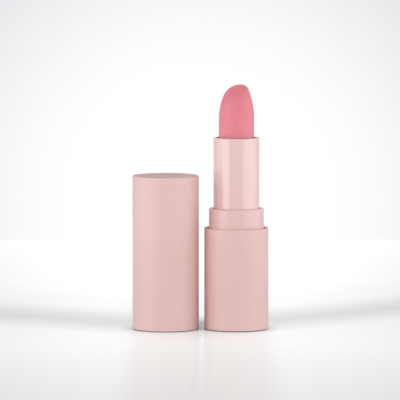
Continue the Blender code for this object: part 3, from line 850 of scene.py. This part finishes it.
# Bullet
# The raised wax bullet, cast in a mould that gives it a leaning nose and a slanted face with a soft
# edge. Its shank is pressed into the carrier cup, whose ribs sink into it.
SHOULDER_RADIUS = 5.88 * MM
SHANK_LENGTH = 18.1 * MM
SHANK_TAPER = 1.2 * MM
OGIVE_HEIGHT = 13.5 * MM
OGIVE_RISE_POWER = 1.85
OGIVE_ROUND_POWER = 1.56
OGIVE_STEPS = 70
NOSE_LEAN = 0.75 * MM
FACE_HEIGHT = 9.62 * MM
FACE_SLOPE = math.radians(30.7)
FACE_TURN = math.radians(69)
FACE_EDGE_BLEND = 1.2 * MM
WAX_PINK = (0.772, 0.223, 0.277)
WAX_PINK_DEEP = (0.748, 0.208, 0.261)
# Painted light: the slanted face is made lighter than the rest of the wax, fading out towards its edge.
FACE_PAINTED_LIGHT = 1.30
FACE_LIGHT_STARTS = FACE_EDGE_BLEND / 4
FACE_LIGHT_FULL = FACE_EDGE_BLEND / 80
WAX_SINK = 3.0 * MM
WAX_SINK_SHARES = (1.0, 0.75, 0.7)


def paint_face_light(material, shader, place):
    """Paints the slanted face lighter, as painted light on a face that turns up, and fades that out at its
    edge.
    """
    nodes = material.node_tree.nodes
    links = material.node_tree.links
    facing = nodes.new("ShaderNodeVectorMath")
    facing.operation = "DOT_PRODUCT"
    slope = math.tan(FACE_SLOPE)
    facing.inputs[1].default_value = (-slope * math.cos(FACE_TURN), -slope * math.sin(FACE_TURN), 1)
    links.new(place, facing.inputs[0])
    nearness = nodes.new("ShaderNodeMapRange")
    nearness.interpolation_type = "SMOOTHSTEP"
    nearness.inputs["From Min"].default_value = shoulder + FACE_HEIGHT - FACE_LIGHT_STARTS
    nearness.inputs["From Max"].default_value = shoulder + FACE_HEIGHT - FACE_LIGHT_FULL
    nearness.inputs["To Min"].default_value = 1
    nearness.inputs["To Max"].default_value = FACE_PAINTED_LIGHT
    links.new(facing.outputs["Value"], nearness.inputs["Value"])
    scaled = nodes.new("ShaderNodeVectorMath")
    scaled.operation = "SCALE"
    links.new(shader.inputs["Base Color"].links[0].from_socket, scaled.inputs[0])
    links.new(nearness.outputs["Result"], scaled.inputs["Scale"])
    links.new(scaled.outputs["Vector"], shader.inputs["Base Color"])


def wax(name, light, deep):
    """Satin wax: light sinks in a little, and the skin has a fine moulded grain."""
    material, shader, place = finish_of(name, roughness=0.6, ior_level=0.8)
    tones(material, shader, grain(material, place, scale=90, detail=3), deep, light)
    # Painted light: the slanted face is lighter.
    paint_face_light(material, shader, place)
    sheen = between(material, grain(material, place, scale=500, detail=3), low=0.55, high=0.66)
    material.node_tree.links.new(sheen, shader.inputs["Roughness"])
    relief(material, shader, grain(material, place, scale=1500, detail=3), depth=0.004 * MM)
    shader.inputs["Subsurface Weight"].default_value = 1.0
    shader.inputs["Subsurface Radius"].default_value = WAX_SINK_SHARES
    shader.inputs["Subsurface Scale"].default_value = WAX_SINK
    return material


def lesser(a, b, blend):
    """The lesser of two heights, with the corner between them rounded over the blend."""
    share = max(blend - abs(a - b), 0) / blend
    return min(a, b) - share * share * blend / 4


bullet_radius = radius_of("bullet")
bullet_bottom = bottom_of("bullet")
shoulder = bullet_bottom + SHANK_LENGTH
nose_outline = []
for step in range(OGIVE_STEPS + 1):
    radius_share = math.sin(math.pi / 2 * step / OGIVE_STEPS)
    height_share = (1 - radius_share**OGIVE_ROUND_POWER) ** (1 / OGIVE_RISE_POWER)
    nose_outline.append(Vector((SHOULDER_RADIUS * radius_share, shoulder + OGIVE_HEIGHT * height_share)))
nose_outline += [
    Vector((SHOULDER_RADIUS, cup_rim + SHANK_TAPER)),
    Vector((bullet_radius, cup_rim)),
    Vector((bullet_radius, bullet_bottom)),
    Vector((0, bullet_bottom)),
]
bullet = turned("bullet_wax", nose_outline, closed=False, axis=lipstick_axis)
for vertex in bullet.data.vertices:
    x, y, z = vertex.co
    if z > shoulder:
        x += NOSE_LEAN * ((z - shoulder) / OGIVE_HEIGHT) ** 2
        rise = math.tan(FACE_SLOPE) * (x * math.cos(FACE_TURN) + y * math.sin(FACE_TURN))
        vertex.co = (x, y, lesser(z, shoulder + FACE_HEIGHT + rise, FACE_EDGE_BLEND))
bullet_grooves = blocks_around(
    count=CUP_RIBS,
    inner=cup_bore - CUP_RIB_DEPTH - PRESS_GAP,
    outer=cup_bore + OVERRUN,
    width=CUP_RIB_WIDTH + 2 * PRESS_GAP,
    bottom=bullet_bottom - OVERRUN,
    top=bullet_bottom + CUP_RIB_LENGTH + PRESS_GAP,
    first_turn=math.pi / CUP_RIBS,
)
combined(bullet, bullet_grooves, "DIFFERENCE")
dressed(bullet, wax("bullet_satin_wax", WAX_PINK, WAX_PINK_DEEP))
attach(bullet, "carrier")
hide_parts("bullet")


# Cap liner
# The moulded inner cap, pressed into the cap shell. Eight slim upright ribs inside its mouth
# pinch the collar sleeve, and the stub of the mould's gate is left in the middle of its crown.
LINER_TOP = 0.8 * MM
LINER_LEAD_IN = 0.35 * MM
CAP_COLLAR_GAP = 0.15 * MM
GRIP_RIBS = 8
GRIP_RIB_RADIUS = 0.4 * MM
GRIP_RIB_STANDS = 0.09 * MM
GRIP_RIB_LENGTH = 5.0 * MM
GRIP_RIB_STEPS = 24
GATE_RADIUS = 0.9 * MM
GATE_STANDS = 0.25 * MM
LINER_PINK = (0.70, 0.52, 0.50)
LINER_PINK_DEEP = (0.65, 0.47, 0.45)

cap_axis = axis_of("cap_shell")
liner_radius = radius_of("cap_liner")
liner_top = top_of("cap_liner")
liner_bottom = bottom_of("cap_liner")
liner_bore = collar_radius + CAP_COLLAR_GAP
liner_ceiling = liner_top - LINER_TOP
liner_outline = softened(
    [
        (0, liner_top, 0),
        (liner_radius, liner_top, LINER_LEAD_IN),
        (liner_radius, liner_bottom, MOULDED_ROUND),
        (liner_bore, liner_bottom, LINER_LEAD_IN),
        (liner_bore, liner_ceiling, LINER_LEAD_IN),
        (GATE_RADIUS, liner_ceiling, 0),
        (GATE_RADIUS, liner_ceiling - GATE_STANDS, MOULDED_ROUND),
        (0, liner_ceiling - GATE_STANDS, 0),
    ],
    closed=False,
)
liner = turned("cap_moulded_liner", liner_outline, closed=False, axis=cap_axis)
rib_centre = liner_bore + GRIP_RIB_RADIUS - GRIP_RIB_STANDS
rib_middle = liner_bottom + LINER_LEAD_IN + GRIP_RIB_LENGTH / 2
first_rib = Matrix.Translation((rib_centre, 0, rib_middle))
grip_ribs = rods_around(GRIP_RIBS, GRIP_RIB_RADIUS, GRIP_RIB_STEPS, first_rib, GRIP_RIB_LENGTH)
combined(liner, grip_ribs, "UNION")
dressed(liner, moulded_plastic("liner_plastic", LINER_PINK, LINER_PINK_DEEP, roughness=0.4))
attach(liner, "cap")
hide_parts("cap_liner")


# Cap shell
# The drawn aluminium outside of the cap, in the same satin lacquer as the base.
# Its crown is flat with a tight rounded edge, and a thin band of dark dull metal round its mouth is painted
# contact shadow.
CAP_TOP_THICKNESS = 0.9 * MM
CAP_TOP_ROUND = 0.4 * MM
CAP_MOUTH_ROUND = 0.2 * MM

cap_radius = radius_of("cap_shell")
cap_top = top_of("cap_shell")
cap_bore = liner_radius + PRESS_GAP
cap_outline = softened(
    [
        (0, cap_top, 0),
        (cap_radius, cap_top, CAP_TOP_ROUND),
        (cap_radius, 0, CAP_MOUTH_ROUND),
        (cap_bore, 0, CAP_MOUTH_ROUND),
        (cap_bore, cap_top - CAP_TOP_THICKNESS, CAP_MOUTH_ROUND),
        (0, cap_top - CAP_TOP_THICKNESS, 0),
    ],
    closed=False,
)
cap = turned("cap_drawn_shell", cap_outline, closed=False, axis=cap_axis)
dressed(cap, satin_lacquer("cap_satin_lacquer", SATIN_PINK, SATIN_PINK_DEEP))
# The thin dark band round the mouth is painted contact shadow.
paint_shadow_below(cap, CONTACT_SHADOW_HEIGHT, contact_shadow_finish)
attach(cap, "cap")
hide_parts("cap_shell")


# Lamps
# Tall softboxes stand to the left and right, each with a dimmer wing that reaches round to the back.
# A low fill stands in front, and a broad panel behind, which no gloss shows.
BOX_DISTANCE = 0.40
BOX_BOTTOM = -0.04
BOX_TOP = 0.26
PANEL_HEIGHT = 0.05


def lit_panel(name, azimuth, elevation, distance, centre_height, width, height, level):
    """A lit panel that faces the object. Azimuth 0 is straight in front, and 90 to the right."""
    light = bpy.data.lights.new(name, "AREA")
    light.shape = "RECTANGLE"
    light.size = width
    light.size_y = height
    light.energy = level * math.pi * width * height
    panel = bpy.data.objects.new(name, light)
    turn = math.radians(azimuth)
    rise = math.radians(elevation)
    away = distance * math.cos(rise)
    up = centre_height + distance * math.sin(rise)
    panel.location = (away * math.sin(turn), -away * math.cos(turn), up)
    panel.rotation_euler = (math.pi / 2 - rise, 0, turn)
    panel.visible_camera = False
    bpy.context.scene.collection.objects.link(panel)
    return panel


def softbox(name, first_azimuth, last_azimuth, level):
    """An upright panel that reaches from one azimuth to another."""
    width = 2 * BOX_DISTANCE * math.tan(math.radians(last_azimuth - first_azimuth) / 2)
    middle = (BOX_TOP + BOX_BOTTOM) / 2
    azimuth = (first_azimuth + last_azimuth) / 2
    lit_panel(name, azimuth, 0, BOX_DISTANCE, middle, width, BOX_TOP - BOX_BOTTOM, level)


softbox("left_softbox", first_azimuth=-78, last_azimuth=-36, level=3.2)
softbox("left_wing", first_azimuth=-115, last_azimuth=-78, level=1.2)
softbox("right_softbox", first_azimuth=36, last_azimuth=92, level=2.5)
softbox("right_wing", first_azimuth=92, last_azimuth=115, level=1.4)
lit_panel(
    "front_fill",
    azimuth=4,
    elevation=19,
    distance=0.45,
    centre_height=PANEL_HEIGHT,
    width=0.40,
    height=0.16,
    level=2.6,
)
back_panel = lit_panel(
    "back_panel",
    azimuth=180,
    elevation=8,
    distance=0.60,
    centre_height=PANEL_HEIGHT,
    width=0.80,
    height=0.30,
    level=2.4,
)
back_panel.visible_glossy = False


# Table
# A round white top with a slight polish. Its seen tone is painted shade: a shadow band behind the object
# that bends back to both sides, a darkening towards the viewer and to both sides, a little more in front
# of the object, and a soft shade behind the gap between the base and the cap. About what the lamps add is
# taken off that tone.
TABLE_REACH = 0.32
TABLE_STEPS = 96
TABLE_DIFFUSE = 0.50
TABLE_POLISH = 0.27
TABLE_POLISH_ROUGHNESS = 0.20
TABLE_LEVEL = 1.245
TABLE_LAMPLIGHT = 0.414
TABLE_TILT = 0.438
# Painted shadow band behind the object, which bends back to both sides.
SHADOW_BAND_SIDE_BEND = 0.75
SHADOW_BAND_SKEW = 0.15
SHADOW_BAND = ((-40, 0.94), (1, 0.73), (50, 0.95), (115, 1.0))
# Painted shade: darker towards the viewer, and a little darker in front of the object and to both sides.
NEAR_FADE = ((-260, 0.74), (-50, 1.0))
SIDE_FADE = ((20, 0.95), (27, 1.0), (40, 0.98), (90, 0.83))
# Painted shade behind the gap between the base and the cap.
SHADE_BEHIND = 15 * MM
SHADE_REACH = 22 * MM
SHADE_NARROWING = 2.2
SHADE_TONE = 0.62
# Painted contact shadow: ambient occlusion darkens the table's seen tone near the object.
CONTACT_REACH = 5 * MM

bm = bmesh.new()
bmesh.ops.create_circle(bm, cap_ends=True, segments=TABLE_STEPS, radius=TABLE_REACH)
table_mesh = bpy.data.meshes.new("table_top")
bm.to_mesh(table_mesh)
bm.free()
table_top = bpy.data.objects.new("table_top", table_mesh)
bpy.context.scene.collection.objects.link(table_top)
white = bpy.data.materials.new("table_white")
white.use_nodes = True
table_nodes = white.node_tree.nodes
table_links = white.node_tree.links
table_nodes.clear()


def worked(operation, *terms):
    """A sum in the table's material. Each term is a number or another node's output."""
    node = table_nodes.new("ShaderNodeMath")
    node.operation = operation
    for socket, term in zip(node.inputs, terms):
        if isinstance(term, (int, float)):
            socket.default_value = term
        else:
            table_links.new(term, socket)
    return node.outputs[0]


def toned(place, stops, easing):
    """A tone for each place, between a few stops that each give a place in millimetres and its tone."""
    first, first_tone = stops[0]
    last, last_tone = stops[-1]
    ramp = table_nodes.new("ShaderNodeValToRGB")
    ramp.color_ramp.interpolation = easing
    marks = ramp.color_ramp.elements
    marks[0].color = (first_tone, first_tone, first_tone, 1)
    marks[1].color = (last_tone, last_tone, last_tone, 1)
    for at, tone in stops[1:-1]:
        marks.new((at - first) / (last - first)).color = (tone, tone, tone, 1)
    share = worked("DIVIDE", worked("SUBTRACT", place, first * MM), (last - first) * MM)
    table_links.new(share, ramp.inputs["Fac"])
    return ramp.outputs["Color"]


def seen_rays(tree):
    """1 for what is seen, straight or in gloss or glass, and 0 for light that falls on a surface."""
    light_path = tree.nodes.new("ShaderNodeLightPath")
    seen = light_path.outputs["Is Camera Ray"]
    for kind in ("Is Glossy Ray", "Is Transmission Ray"):
        either = tree.nodes.new("ShaderNodeMath")
        either.operation = "MAXIMUM"
        tree.links.new(seen, either.inputs[0])
        tree.links.new(light_path.outputs[kind], either.inputs[1])
        seen = either.outputs[0]
    return seen


spot = table_nodes.new("ShaderNodeSeparateXYZ")
table_links.new(table_nodes.new("ShaderNodeTexCoord").outputs["Object"], spot.inputs[0])
# The seen tone is painted shade: the shadow band, the fades and the shade behind the gap.
aside = worked("ABSOLUTE", spot.outputs["X"])
behind = worked("SUBTRACT", spot.outputs["Y"], worked("MULTIPLY", aside, SHADOW_BAND_SIDE_BEND))
behind = worked("SUBTRACT", behind, worked("MULTIPLY", spot.outputs["X"], SHADOW_BAND_SKEW))
tone = worked("MULTIPLY", toned(behind, SHADOW_BAND, "EASE"), toned(spot.outputs["Y"], NEAR_FADE, "LINEAR"))
tone = worked("MULTIPLY", tone, toned(aside, SIDE_FADE, "LINEAR"))
gap_middle = (lipstick_axis.x - base_radius + cap_axis.x + cap_radius) / 2
narrowed = table_nodes.new("ShaderNodeCombineXYZ")
shade_side = worked("MULTIPLY", worked("SUBTRACT", spot.outputs["X"], gap_middle), SHADE_NARROWING)
shade_depth = worked("SUBTRACT", spot.outputs["Y"], SHADE_BEHIND)
table_links.new(shade_side, narrowed.inputs["X"])
table_links.new(shade_depth, narrowed.inputs["Y"])
from_shade = table_nodes.new("ShaderNodeVectorMath")
from_shade.operation = "LENGTH"
table_links.new(narrowed.outputs["Vector"], from_shade.inputs[0])
shade = table_nodes.new("ShaderNodeMapRange")
shade.interpolation_type = "SMOOTHSTEP"
shade.inputs["From Max"].default_value = SHADE_REACH
shade.inputs["To Min"].default_value = SHADE_TONE
table_links.new(from_shade.outputs["Value"], shade.inputs["Value"])
tone = worked("MULTIPLY", tone, shade.outputs["Result"])
tone = worked("SUBTRACT", worked("MULTIPLY", tone, TABLE_LEVEL), TABLE_LAMPLIGHT)
tone = worked("ADD", tone, worked("MULTIPLY", spot.outputs["Y"], TABLE_TILT))
# Painted contact shadow from ambient occlusion.
contact = table_nodes.new("ShaderNodeAmbientOcclusion")
contact.inputs["Distance"].default_value = CONTACT_REACH
table_links.new(tone, contact.inputs["Color"])
emission = table_nodes.new("ShaderNodeEmission")
table_links.new(contact.outputs["Color"], emission.inputs["Color"])
table_links.new(seen_rays(white.node_tree), emission.inputs["Strength"])
matt = table_nodes.new("ShaderNodeBsdfDiffuse")
matt.inputs["Color"].default_value = (TABLE_DIFFUSE, TABLE_DIFFUSE, TABLE_DIFFUSE, 1)
lit = table_nodes.new("ShaderNodeAddShader")
table_links.new(emission.outputs[0], lit.inputs[0])
table_links.new(matt.outputs[0], lit.inputs[1])
polish = table_nodes.new("ShaderNodeBsdfGlossy")
polish.inputs["Roughness"].default_value = TABLE_POLISH_ROUGHNESS
surface = table_nodes.new("ShaderNodeMixShader")
surface.inputs["Fac"].default_value = TABLE_POLISH
table_links.new(lit.outputs[0], surface.inputs[1])
table_links.new(polish.outputs[0], surface.inputs[2])
table_links.new(surface.outputs[0], table_nodes.new("ShaderNodeOutputMaterial").inputs["Surface"])
table_top.data.materials.append(white)


# Backdrop
# Pale paper all round, white behind the object as the photograph sees it, and dimmer further out.
# It lights the object evenly, at a lower level than it is seen at.
VIEW_PITCH = math.radians(4.95)
BACKDROP_BRIGHT_REACH = 0.028
BACKDROP_DIM_REACH = 0.080
BACKDROP_DIM = (0.775, 0.785, 0.805)
WORLD_LEVEL = 0.29

world = bpy.data.worlds.new("studio")
bpy.context.scene.world = world
world.use_nodes = True
sky_nodes = world.node_tree.nodes
sky_links = world.node_tree.links
background = sky_nodes["Background"]
heading = sky_nodes.new("ShaderNodeTexCoord").outputs["Generated"]
off_centre = sky_nodes.new("ShaderNodeVectorMath")
off_centre.operation = "DISTANCE"
off_centre.inputs[1].default_value = (0, math.cos(VIEW_PITCH), -math.sin(VIEW_PITCH))
sky_links.new(heading, off_centre.inputs[0])
outward = sky_nodes.new("ShaderNodeMapRange")
outward.interpolation_type = "SMOOTHSTEP"
outward.inputs["From Min"].default_value = BACKDROP_BRIGHT_REACH
outward.inputs["From Max"].default_value = BACKDROP_DIM_REACH
sky_links.new(off_centre.outputs["Value"], outward.inputs["Value"])
backdrop = sky_nodes.new("ShaderNodeValToRGB")
backdrop.color_ramp.elements[0].color = (1, 1, 1, 1)
backdrop.color_ramp.elements[1].color = (*BACKDROP_DIM, 1)
sky_links.new(outward.outputs["Result"], backdrop.inputs["Fac"])
sky_links.new(backdrop.outputs["Color"], background.inputs["Color"])
level = sky_nodes.new("ShaderNodeMapRange")
level.inputs["To Min"].default_value = WORLD_LEVEL
sky_links.new(seen_rays(world.node_tree), level.inputs["Value"])
sky_links.new(level.outputs["Result"], background.inputs["Strength"])


# Camera
# It stands well back and looks a little down, as in the photograph. The lens is long, so that the
# uprights of the object stay parallel. The aim is left of the lipstick's axis and half way up.
CAMERA_LENS = 378
CAMERA_SENSOR = 36
CAMERA_NEAREST = 0.01
CAMERA_DISTANCE = 1.4
AIM_LEFT = 12.14 * MM
AIM_HEIGHT = 43.08 * MM

camera_data = bpy.data.cameras.new("camera")
camera_data.lens = CAMERA_LENS
camera_data.sensor_width = CAMERA_SENSOR
camera_data.clip_start = CAMERA_NEAREST
camera = bpy.data.objects.new("camera", camera_data)
aim = Vector((lipstick_axis.x - AIM_LEFT, lipstick_axis.y, AIM_HEIGHT))
camera.location = aim + CAMERA_DISTANCE * Vector((0, -math.cos(VIEW_PITCH), math.sin(VIEW_PITCH)))
camera.rotation_euler = (math.pi / 2 - VIEW_PITCH, 0, 0)
bpy.context.scene.collection.objects.link(camera)
bpy.context.scene.camera = camera
bpy.context.scene.view_settings.view_transform = "Standard"
